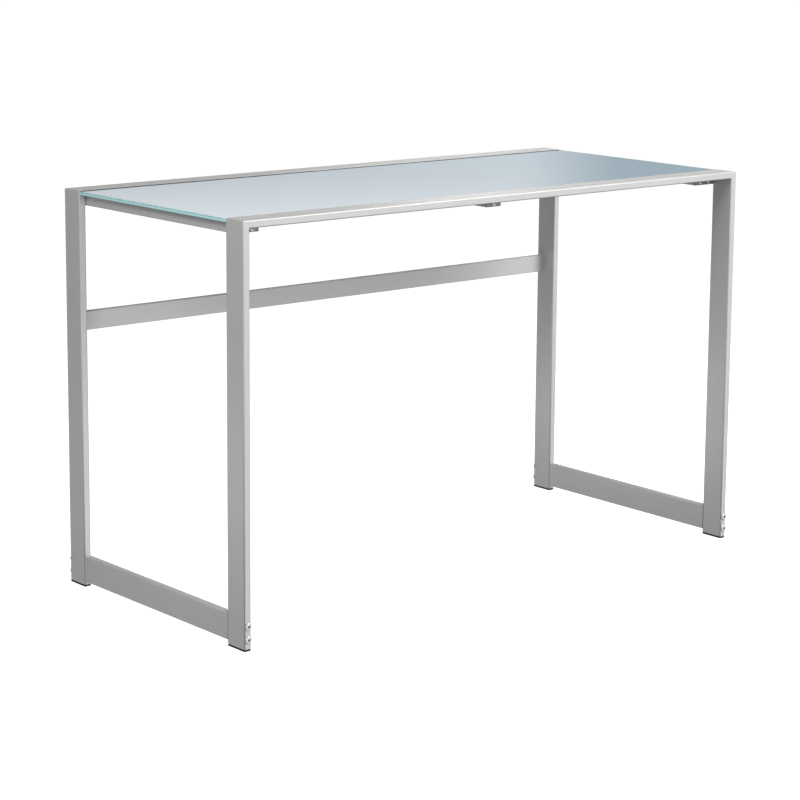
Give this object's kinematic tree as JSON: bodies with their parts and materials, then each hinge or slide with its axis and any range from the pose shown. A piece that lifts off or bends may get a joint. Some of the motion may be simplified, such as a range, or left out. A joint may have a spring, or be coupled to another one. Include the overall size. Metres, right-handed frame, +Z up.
{
  "type": "computer desk",
  "caption": "Straight computer desk with a tempered glass top held flush between two flat-tube steel frames, low side rails, a back stretcher and an open knee space.",
  "frame": {"origin": "on the floor, in the middle of the four feet", "axes": "+X along the desk to its right-hand end, +Y to the back, +Z up"},
  "size_m": [1.22, 0.5672, 0.755],
  "materials": {
    "frame_steel": "satin silver powder coat on steel tube",
    "bolt_zinc": "bright zinc plate",
    "foot_plastic": "moulded black plastic",
    "desk_glass": "tempered float glass, frosted pale blue-grey, polished green-blue edge",
    "seal_rubber": "extruded black rubber strip pressed into the groove beside the glass",
    "clear_pad": "clear soft bumper"
  },
  "bodies": {
    "root": {"front_top_rail": "frame_steel", "front_left_leg": "frame_steel", "front_left_foot": "foot_plastic", "front_left_frame_bolt_lower": "bolt_zinc", "front_left_frame_bolt_upper": "bolt_zinc", "front_right_leg": "frame_steel", "front_right_foot": "foot_plastic", "front_right_frame_bolt_lower": "bolt_zinc", "front_right_frame_bolt_upper": "bolt_zinc", "rear_top_rail": "frame_steel", "rear_left_leg": "frame_steel", "rear_left_foot": "foot_plastic", "rear_left_frame_bolt_lower": "bolt_zinc", "rear_left_frame_bolt_upper": "bolt_zinc", "rear_right_leg": "frame_steel", "rear_right_foot": "foot_plastic", "rear_right_frame_bolt_lower": "bolt_zinc", "rear_right_frame_bolt_upper": "bolt_zinc", "left_side_rail": "frame_steel", "right_side_rail": "frame_steel", "left_crossbar": "frame_steel", "front_left_bracket": "frame_steel", "front_left_bracket_bolt_inner": "bolt_zinc", "front_left_bracket_bolt_outer": "bolt_zinc", "front_left_glass_pad": "clear_pad", "rear_left_bracket": "frame_steel", "rear_left_bracket_bolt_inner": "bolt_zinc", "rear_left_bracket_bolt_outer": "bolt_zinc", "rear_left_glass_pad": "clear_pad", "right_crossbar": "frame_steel", "front_right_bracket": "frame_steel", "front_right_bracket_bolt_inner": "bolt_zinc", "front_right_bracket_bolt_outer": "bolt_zinc", "front_right_glass_pad": "clear_pad", "rear_right_bracket": "frame_steel", "rear_right_bracket_bolt_inner": "bolt_zinc", "rear_right_bracket_bolt_outer": "bolt_zinc", "rear_right_glass_pad": "clear_pad", "middle_crossbar": "frame_steel", "front_middle_bracket": "frame_steel", "front_middle_bracket_bolt": "bolt_zinc", "front_middle_glass_pad": "clear_pad", "rear_middle_bracket": "frame_steel", "rear_middle_bracket_bolt": "bolt_zinc", "rear_middle_glass_pad": "clear_pad", "back_stretcher": "frame_steel", "stretcher_end_left": "frame_steel", "stretcher_screw_left_lower": "bolt_zinc", "stretcher_screw_left_upper": "bolt_zinc", "stretcher_end_right": "frame_steel", "stretcher_screw_right_lower": "bolt_zinc", "stretcher_screw_right_upper": "bolt_zinc", "glass_top": "desk_glass", "front_glass_seal": "seal_rubber", "rear_glass_seal": "seal_rubber"}
  },
  "joints": []
}
